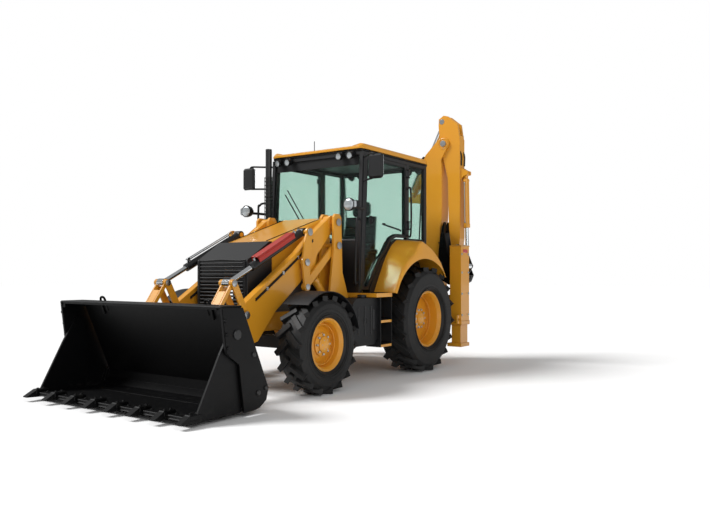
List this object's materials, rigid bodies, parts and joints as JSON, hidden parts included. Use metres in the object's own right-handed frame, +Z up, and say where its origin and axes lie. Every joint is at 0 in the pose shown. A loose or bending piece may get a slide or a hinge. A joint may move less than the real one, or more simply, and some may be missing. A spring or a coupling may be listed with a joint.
{
  "type": "backhoe_loader",
  "caption": "Wheeled backhoe loader with a toothed clam bucket in front and a side-shift digging arm behind",
  "frame": {"origin": "on the ground under the middle of the overall box", "axes": "+X towards the front bucket, +Y to the machine's left, +Z up"},
  "size_m": [5.758, 2.412, 3.6499],
  "materials": {
    "paint": "gloss yellow-orange paint",
    "black_paint": "satin black paint",
    "black_plastic": "matt black plastic",
    "engine_metal": "plain casting",
    "rod_chrome": "polished rods",
    "pin_steel": "bare turned steel",
    "tyre_rubber": "dull black rubber",
    "window": "green tinted glass"
  },
  "bodies": {
    "base": {"front_frame": "paint", "rear_frame": "paint", "engine_block": "engine_metal", "front_axle": "black_paint", "rear_axle": "black_paint", "side_tanks": "black_plastic", "cab_floor": "paint", "cab_frame": "black_paint", "cab_roof": "paint", "cab_glass": "window", "rear_fenders": "paint", "seat": "black_plastic", "console": "black_plastic", "exhaust": "black_paint", "mirrors_and_lamps": "black_plastic"},
    "hood": {"hood": "paint", "nose_grille": "black_paint"},
    "left_door": {"left_door": "black_paint", "left_door_glass": "window"},
    "right_door": {"right_door": "black_paint", "right_door_glass": "window"},
    "left_knuckle": {"left_knuckle": "black_plastic"},
    "right_knuckle": {"right_knuckle": "black_plastic"},
    "left_front_wheel": {"left_front_rim": "paint", "left_front_tyre": "tyre_rubber"},
    "left_rear_wheel": {"left_rear_rim": "paint", "left_rear_tyre": "tyre_rubber"},
    "right_front_wheel": {"right_front_rim": "paint", "right_front_tyre": "tyre_rubber"},
    "right_rear_wheel": {"right_rear_rim": "paint", "right_rear_tyre": "tyre_rubber"},
    "loader_arms": {"loader_arms": "paint"},
    "bellcranks": {"bellcranks": "paint"},
    "level_links": {"level_links": "paint"},
    "lever_pins": {"lever_pins": "pin_steel"},
    "lever_top_pins": {"lever_top_pins": "pin_steel"},
    "bucket_pins": {"bucket_pins": "pin_steel"},
    "tilt_levers": {"tilt_levers": "paint"},
    "tilt_links": {"tilt_links": "paint"},
    "tilt_barrels": {"tilt_barrels": "paint"},
    "tilt_rods": {"tilt_rods": "rod_chrome"},
    "lift_barrels": {"lift_barrels": "paint"},
    "lift_rods": {"lift_rods": "rod_chrome"},
    "loader_bucket": {"loader_bucket": "black_paint"},
    "bucket_clam": {"bucket_clam": "black_paint"},
    "carriage": {"carriage": "paint"},
    "swing_post": {"swing_post": "paint"},
    "boom": {"boom": "paint"},
    "boom_barrel": {"boom_barrel": "paint"},
    "boom_rod": {"boom_rod": "rod_chrome"},
    "stick": {"stick": "paint"},
    "stick_barrel": {"stick_barrel": "paint"},
    "stick_rod": {"stick_rod": "rod_chrome"},
    "curl_barrel": {"curl_barrel": "paint"},
    "curl_rod": {"curl_rod": "rod_chrome"},
    "guide_lever": {"guide_lever": "black_paint"},
    "curl_link": {"curl_link": "black_paint"},
    "hoe_bucket": {"hoe_bucket": "black_paint"},
    "left_leg": {"left_leg": "paint"},
    "right_leg": {"right_leg": "paint"}
  },
  "joints": [
    {"name": "steer", "type": "hinge", "parent": "base", "child": "left_knuckle", "pos_m": [0.794, 0.83, 0.53], "axis": [0, 0, 1], "range_deg": [-28, 28]},
    {"name": "steer_right", "type": "hinge", "parent": "base", "child": "right_knuckle", "pos_m": [0.794, -0.83, 0.53], "axis": [0, 0, 1], "range_deg": [-29, 29]},
    {"name": "left_front_spin", "type": "hinge", "parent": "left_knuckle", "child": "left_front_wheel", "pos_m": [0.794, 0.955, 0.53], "axis": [0, 1, 0], "continuous": true},
    {"name": "right_front_spin", "type": "hinge", "parent": "right_knuckle", "child": "right_front_wheel", "pos_m": [0.794, -0.955, 0.53], "axis": [0, 1, 0], "continuous": true},
    {"name": "left_rear_spin", "type": "hinge", "parent": "base", "child": "left_rear_wheel", "pos_m": [-1.406, 0.9, 0.688], "axis": [0, 1, 0], "continuous": true},
    {"name": "right_rear_spin", "type": "hinge", "parent": "base", "child": "right_rear_wheel", "pos_m": [-1.406, -0.9, 0.688], "axis": [0, 1, 0], "continuous": true},
    {"name": "left_door_swing", "type": "hinge", "parent": "base", "child": "left_door", "pos_m": [-1.446, 0.758, 2.3], "axis": [0, 0, 1], "range_deg": [0, 80]},
    {"name": "right_door_swing", "type": "hinge", "parent": "base", "child": "right_door", "pos_m": [-1.446, -0.758, 2.3], "axis": [0, 0, -1], "range_deg": [0, 80]},
    {"name": "hood_lift", "type": "hinge", "parent": "base", "child": "hood", "pos_m": [1.234, 0, 0.88], "axis": [0, 1, 0], "range_deg": [0, 50]},
    {"name": "lift", "type": "hinge", "parent": "base", "child": "loader_arms", "pos_m": [-0.006, 0, 1.9], "axis": [0, -1, 0], "range_deg": [-6, 81]},
    {"name": "level_link_turn", "type": "hinge", "parent": "base", "child": "level_links", "pos_m": [-0.021, 0, 1.622], "axis": [0, -1, 0], "range_deg": [-7, 82]},
    {"name": "bellcrank_turn", "type": "hinge", "parent": "loader_arms", "child": "bellcranks", "pos_m": [0.569, 0, 1.415], "axis": [0, -1, 0], "range_deg": [-82, 7]},
    {"name": "lever_pin_turn", "type": "hinge", "parent": "loader_arms", "child": "lever_pins", "pos_m": [1.512, 0, 0.862], "axis": [0, -1, 0], "range_deg": [-82, 7]},
    {"name": "bucket_pin_turn", "type": "hinge", "parent": "loader_arms", "child": "bucket_pins", "pos_m": [1.834, 0, 0.4], "axis": [0, -1, 0], "range_deg": [-82, 7]},
    {"name": "tilt_barrel_turn", "type": "hinge", "parent": "bellcranks", "child": "tilt_barrels", "pos_m": [0.514, 0, 1.76], "axis": [0, -1, 0], "range_deg": [-6, 69]},
    {"name": "lift_barrel_turn", "type": "hinge", "parent": "base", "child": "lift_barrels", "pos_m": [-0.406, 0, 0.5], "axis": [0, -1, 0], "range_deg": [-2, 11]},
    {"name": "lift_rod_slide", "type": "slide", "parent": "lift_barrels", "child": "lift_rods", "axis": [0.694, 0, 0.72], "range_m": [-0.067, 0.843]},
    {"name": "tilt", "type": "hinge", "parent": "bucket_pins", "child": "loader_bucket", "pos_m": [1.834, 0, 0.4], "axis": [0, 1, 0], "range_deg": [-40, 45]},
    {"name": "tilt_lever_turn", "type": "hinge", "parent": "lever_pins", "child": "tilt_levers", "pos_m": [1.512, 0, 0.862], "axis": [0, 1, 0], "range_deg": [-41, 46]},
    {"name": "lever_top_turn", "type": "hinge", "parent": "tilt_levers", "child": "lever_top_pins", "pos_m": [1.686, 0, 1.189], "axis": [0, -1, 0], "range_deg": [-7, 82]},
    {"name": "tilt_link_turn", "type": "hinge", "parent": "lever_top_pins", "child": "tilt_links", "pos_m": [1.686, 0, 1.189], "axis": [0, 1, 0], "range_deg": [-46, 41]},
    {"name": "tilt_rod_slide", "type": "slide", "parent": "tilt_barrels", "child": "tilt_rods", "axis": [0.899, 0, -0.438], "range_m": [-0.249, 0.279]},
    {"name": "clam", "type": "hinge", "parent": "loader_bucket", "child": "bucket_clam", "pos_m": [2.266, 0, 0.749], "axis": [0, -1, 0], "range_deg": [0, 65]},
    {"name": "side_shift", "type": "slide", "parent": "base", "child": "carriage", "axis": [0, 1, 0], "range_m": [-0.915, 0.215]},
    {"name": "swing", "type": "hinge", "parent": "carriage", "child": "swing_post", "pos_m": [-2.676, 0.35, 0.73], "axis": [0, 0, 1], "range_deg": [0, 180]},
    {"name": "boom_lower", "type": "hinge", "parent": "swing_post", "child": "boom", "pos_m": [-2.676, 0.55, 0.83], "axis": [-1, 0, 0], "range_deg": [0, 110]},
    {"name": "boom_barrel_turn", "type": "hinge", "parent": "swing_post", "child": "boom_barrel", "pos_m": [-2.676, 0.41, 1.04], "axis": [-1, 0, 0], "range_deg": [-1, 116]},
    {"name": "boom_rod_slide", "type": "slide", "parent": "boom_barrel", "child": "boom_rod", "axis": [0, -0.0317, 0.9995], "range_m": [-0.005, 0.423]},
    {"name": "stick_open", "type": "hinge", "parent": "boom", "child": "stick", "pos_m": [-2.676, 0.687, 3.224], "axis": [1, 0, 0], "range_deg": [0, 105]},
    {"name": "stick_barrel_turn", "type": "hinge", "parent": "boom", "child": "stick_barrel", "pos_m": [-2.676, 0.09, 2.42], "axis": [1, 0, 0], "range_deg": [-1, 7]},
    {"name": "stick_rod_slide", "type": "slide", "parent": "stick_barrel", "child": "stick_rod", "axis": [0, 0.4409, 0.8976], "range_m": [-0.526, 0.005]},
    {"name": "bucket_open", "type": "hinge", "parent": "stick", "child": "hoe_bucket", "pos_m": [-2.676, 0.885, 1.38], "axis": [1, 0, 0], "range_deg": [-1, 106]},
    {"name": "guide_lever_turn", "type": "hinge", "parent": "stick", "child": "guide_lever", "pos_m": [-2.676, 0.924, 1.672], "axis": [1, 0, 0], "range_deg": [-1, 83]},
    {"name": "curl_link_turn", "type": "hinge", "parent": "guide_lever", "child": "curl_link", "pos_m": [-2.676, 1.031, 1.397], "axis": [1, 0, 0], "range_deg": [-67, 1]},
    {"name": "curl_barrel_turn", "type": "hinge", "parent": "stick", "child": "curl_barrel", "pos_m": [-2.676, 1.01, 2.76], "axis": [1, 0, 0], "range_deg": [-1, 12]},
    {"name": "curl_rod_slide", "type": "slide", "parent": "curl_barrel", "child": "curl_rod", "axis": [0, 0.0154, -0.9999], "range_m": [-0.326, 0.005]},
    {"name": "left_leg_lower", "type": "slide", "parent": "base", "child": "left_leg", "axis": [0, 0, -1], "range_m": [0, 0.25]},
    {"name": "right_leg_lower", "type": "slide", "parent": "base", "child": "right_leg", "axis": [0, 0, -1], "range_m": [0, 0.25]}
  ],
  "couplings": [
    {"joint": "steer_right", "follows": "steer", "ratio": 1},
    {"joint": "level_link_turn", "follows": "lift", "ratio": 1},
    {"joint": "bellcrank_turn", "follows": "lift", "ratio": -1},
    {"joint": "lever_pin_turn", "follows": "lift", "ratio": -1},
    {"joint": "bucket_pin_turn", "follows": "lift", "ratio": -1},
    {"joint": "tilt_barrel_turn", "follows": "lift", "ratio": 0.8325},
    {"joint": "lift_barrel_turn", "follows": "lift", "ratio": 0.1175},
    {"joint": "lift_rod_slide", "follows": "lift", "m_per_rad": 0.593},
    {"joint": "tilt_lever_turn", "follows": "tilt", "ratio": 1},
    {"joint": "lever_top_turn", "follows": "lift", "ratio": 1},
    {"joint": "tilt_link_turn", "follows": "tilt", "ratio": -1},
    {"joint": "tilt_rod_slide", "follows": "tilt", "m_per_rad": 0.349},
    {"joint": "boom_barrel_turn", "follows": "boom_lower", "ratio": 1.0429},
    {"joint": "boom_rod_slide", "follows": "boom_lower", "m_per_rad": 0.2177},
    {"joint": "stick_barrel_turn", "follows": "stick_open", "ratio": 0.05},
    {"joint": "stick_rod_slide", "follows": "stick_open", "m_per_rad": -0.2841},
    {"joint": "bucket_open", "follows": "stick_open", "ratio": 1},
    {"joint": "guide_lever_turn", "follows": "stick_open", "ratio": 0.77689},
    {"joint": "curl_link_turn", "follows": "stick_open", "ratio": -0.62426},
    {"joint": "curl_barrel_turn", "follows": "stick_open", "ratio": 0.09788},
    {"joint": "curl_rod_slide", "follows": "stick_open", "m_per_rad": -0.17516}
  ]
}
